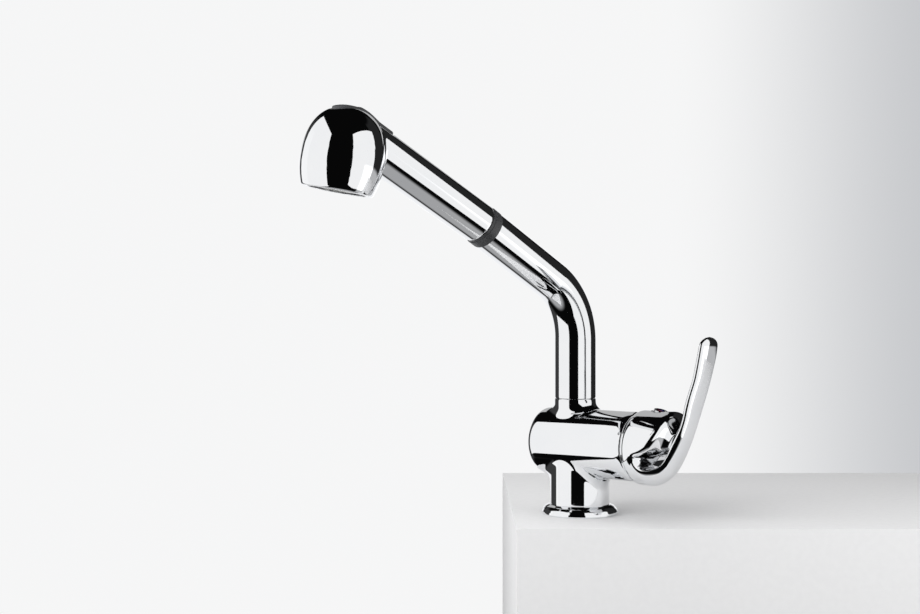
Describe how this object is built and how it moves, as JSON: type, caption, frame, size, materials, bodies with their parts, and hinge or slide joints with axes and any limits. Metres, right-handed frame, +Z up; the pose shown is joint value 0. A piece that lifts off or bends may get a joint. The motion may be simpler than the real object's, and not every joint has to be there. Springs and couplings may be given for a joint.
{
  "type": "kitchen mixer tap with pull-out spout",
  "caption": "Single-lever kitchen mixer tap on a flared base, with a swivelling bent spout and a pull-out spray handset.",
  "frame": {"origin": "centre of the base ring's underside, on the worktop", "axes": "+Z up along the mounting shank, +X along the barrel towards the lever, -Y to the front"},
  "size_m": [0.1594, 0.2419, 0.3165],
  "materials": {
    "chrome": "mirror plated",
    "brass": "machined",
    "steel": "plain",
    "rubber": "matt",
    "dark_plastic": "fine grain",
    "inner_plastic": "moulded",
    "ceramic": "lapped",
    "nozzle_rubber": "soft",
    "screen": "woven",
    "index_mark": "two coloured index",
    "hose": "braided sleeve"
  },
  "bodies": {
    "fixed": {"mixer_body": "chrome", "base_ring": "chrome", "base_gasket": "rubber", "mounting_shank": "brass", "clamp_washer": "rubber", "steel_washer": "steel", "mounting_nut": "brass", "swivel_washer": "chrome", "spout_grub_screw": "steel", "cartridge_base": "inner_plastic", "cartridge_seals": "rubber", "cartridge_housing": "inner_plastic", "fixed_disc": "ceramic", "cartridge_nut": "brass", "cartridge_cover": "chrome"},
    "spout": {"spout_tube": "chrome", "spout_spigot": "brass", "spigot_o_rings": "rubber", "slip_ring": "inner_plastic", "dock_bush": "dark_plastic"},
    "hose_end": {"hose_nut": "brass", "hose_seal": "rubber", "hose_ferrule": "steel", "pullout_hose": "hose"},
    "handset": {"handset_shell": "chrome", "inlet_spigot": "brass", "water_tube": "inner_plastic", "check_valve": "inner_plastic", "head_chamber": "inner_plastic", "rocker_carrier": "inner_plastic", "rocker_pin": "steel", "face_ring": "chrome", "spray_face": "dark_plastic", "nozzle_set": "nozzle_rubber", "aerator_housing": "inner_plastic", "aerator_screen": "screen"},
    "selector": {"selector_rocker": "dark_plastic"},
    "diverter": {"diverter_spindle": "steel", "diverter_seal": "rubber"},
    "temperature": {"cartridge_driver": "inner_plastic", "spindle_pin": "steel"},
    "disc_slide": {"disc_carrier": "inner_plastic", "moving_disc": "ceramic"},
    "lever": {"cartridge_spindle": "steel", "lever_handle": "chrome", "index_plug": "index_mark", "lever_set_screw": "steel"}
  },
  "joints": [
    {"name": "spout_swivel", "type": "hinge", "parent": "fixed", "child": "spout", "pos_m": [-0.0038, 0, 0.078], "axis": [0, 0, 1], "range_deg": [-68, 82]},
    {"name": "hose_pull", "type": "slide", "parent": "spout", "child": "hose_end", "axis": [-0.1067, -0.8689, 0.4833], "range_m": [0, 0.25], "deforming": ["pullout_hose"]},
    {"name": "handset_twist", "type": "hinge", "parent": "hose_end", "child": "handset", "pos_m": [-0.01234, -0.06951, 0.18306], "axis": [-0.1067, -0.8689, 0.4833], "range_deg": [-90, 90]},
    {"name": "selector_tilt", "type": "hinge", "parent": "handset", "child": "selector", "pos_m": [-0.02502, -0.17903, 0.25009], "axis": [0.9747, -0.1874, -0.1218], "range_deg": [-2.5, 2.5]},
    {"name": "diverter_shift", "type": "slide", "parent": "handset", "child": "diverter", "axis": [-0.144, -0.1094, -0.9835], "range_m": [-0.00054, 0.00054]},
    {"name": "temperature_turn", "type": "hinge", "parent": "fixed", "child": "temperature", "pos_m": [0.0435, 0, 0.0481], "axis": [1, 0, 0], "range_deg": [-45, 45]},
    {"name": "lever_tilt", "type": "hinge", "parent": "temperature", "child": "lever", "pos_m": [0.0435, 0, 0.0481], "axis": [0, 1, 0], "range_deg": [0, 17]},
    {"name": "disc_shift", "type": "slide", "parent": "temperature", "child": "disc_slide", "axis": [0, 0, 1], "range_m": [0, 0.0026]}
  ],
  "couplings": [
    {"joint": "disc_shift", "follows": "lever_tilt", "m_per_rad": 0.0085},
    {"joint": "selector_tilt", "follows": "diverter_shift", "rad_per_m": 81.3}
  ]
}
